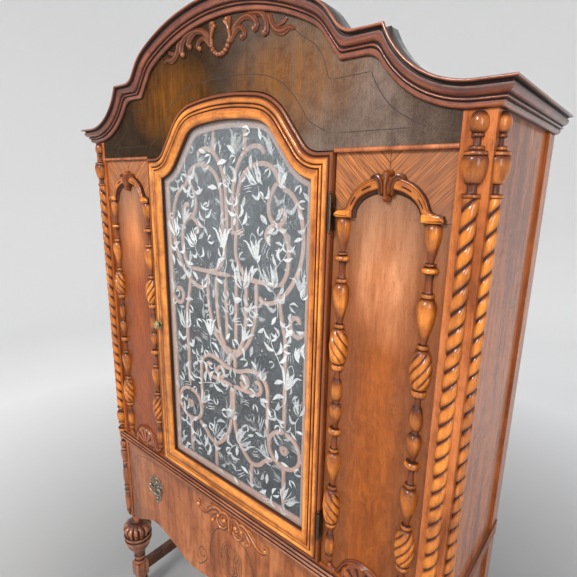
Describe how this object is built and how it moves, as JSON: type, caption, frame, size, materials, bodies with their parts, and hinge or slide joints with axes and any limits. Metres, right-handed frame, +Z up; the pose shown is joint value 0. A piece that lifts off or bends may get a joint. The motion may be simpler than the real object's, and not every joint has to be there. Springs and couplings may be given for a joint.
{
  "type": "china cabinet",
  "caption": "Display cabinet on turned legs with an arched glass door, shelves, a shaped drawer below and a stepped pediment crown.",
  "frame": {"origin": "centre of the bounding box on the floor", "axes": "+Z up, the door and drawer face -Y, +X to the right as seen from the front"},
  "size_m": [1.092, 0.406, 1.758],
  "materials": {
    "orange_walnut": "turned and moulded walnut, orange brown, shellac gloss with dark stain in the hollows",
    "panel_walnut": "figured walnut veneer, reddish brown, satin shellac",
    "dark_walnut": "dark stained walnut, satin",
    "inside_walnut": "plain secondary wood, oiled",
    "glass": "clear sheet glass",
    "fretwork": "thin sawn fretwork, faded pinkish tan",
    "brass": "aged cast brass"
  },
  "bodies": {
    "case": {"left_front_post": "panel_walnut", "right_front_post": "panel_walnut", "left_rear_post": "panel_walnut", "right_rear_post": "panel_walnut", "left_side_panel": "panel_walnut", "right_side_panel": "panel_walnut", "lower_side_panels": "panel_walnut", "back_panel": "inside_walnut", "lower_back_rail": "inside_walnut", "case_floor": "inside_walnut", "waist_rail": "panel_walnut", "top_board": "inside_walnut", "hood": "inside_walnut", "upper_shelf": "inside_walnut", "middle_shelf": "inside_walnut", "lower_shelf": "inside_walnut", "shelf_cleats": "inside_walnut", "left_front_panel": "panel_walnut", "right_front_panel": "panel_walnut", "frieze_board": "dark_walnut", "crown_moulding": "orange_walnut", "crown_returns": "orange_walnut", "frieze_beads": "orange_walnut", "waist_moulding": "orange_walnut", "left_rope_column": "orange_walnut", "right_rope_column": "orange_walnut", "side_rope_columns": "orange_walnut", "left_panel_turnings": "orange_walnut", "right_panel_turnings": "orange_walnut", "panel_arches": "orange_walnut", "panel_shells": "panel_walnut", "frieze_carving": "dark_walnut", "lower_turnings": "panel_walnut", "left_front_leg": "orange_walnut", "right_front_leg": "orange_walnut", "left_side_stretcher": "dark_walnut", "right_side_stretcher": "dark_walnut", "cross_stretcher": "dark_walnut", "drawer_runners": "inside_walnut", "door_stop": "panel_walnut", "case_hinge_leaves": "brass", "case_hinge_screws": "brass"},
    "door": {"door_left_stile": "orange_walnut", "door_right_stile": "orange_walnut", "door_bottom_rail": "orange_walnut", "door_top_rail": "orange_walnut", "door_glass": "glass", "door_fretwork": "fretwork", "glazing_beads": "orange_walnut", "door_knob": "brass", "door_hinge_leaves": "brass", "door_hinge_screws": "brass"},
    "drawer": {"drawer_front": "panel_walnut", "drawer_sides": "inside_walnut", "drawer_back": "inside_walnut", "drawer_bottom": "inside_walnut", "drawer_carving": "panel_walnut", "pull_plates": "brass"},
    "left_bail": {"left_bail": "brass"},
    "right_bail": {"right_bail": "brass"}
  },
  "joints": [
    {"name": "door_hinge", "type": "hinge", "parent": "case", "child": "door", "pos_m": [0.272, -0.185, 1.06], "axis": [0, 0, 1], "range_deg": [0, 105]},
    {"name": "drawer_slide", "type": "slide", "parent": "case", "child": "drawer", "axis": [0, -1, 0], "range_m": [0, 0.28]},
    {"name": "left_bail_swing", "type": "hinge", "parent": "drawer", "child": "left_bail", "pos_m": [-0.325, -0.185, 0.53], "axis": [-1, 0, 0], "range_deg": [0, 95]},
    {"name": "right_bail_swing", "type": "hinge", "parent": "drawer", "child": "right_bail", "pos_m": [0.325, -0.185, 0.53], "axis": [-1, 0, 0], "range_deg": [0, 95]}
  ]
}
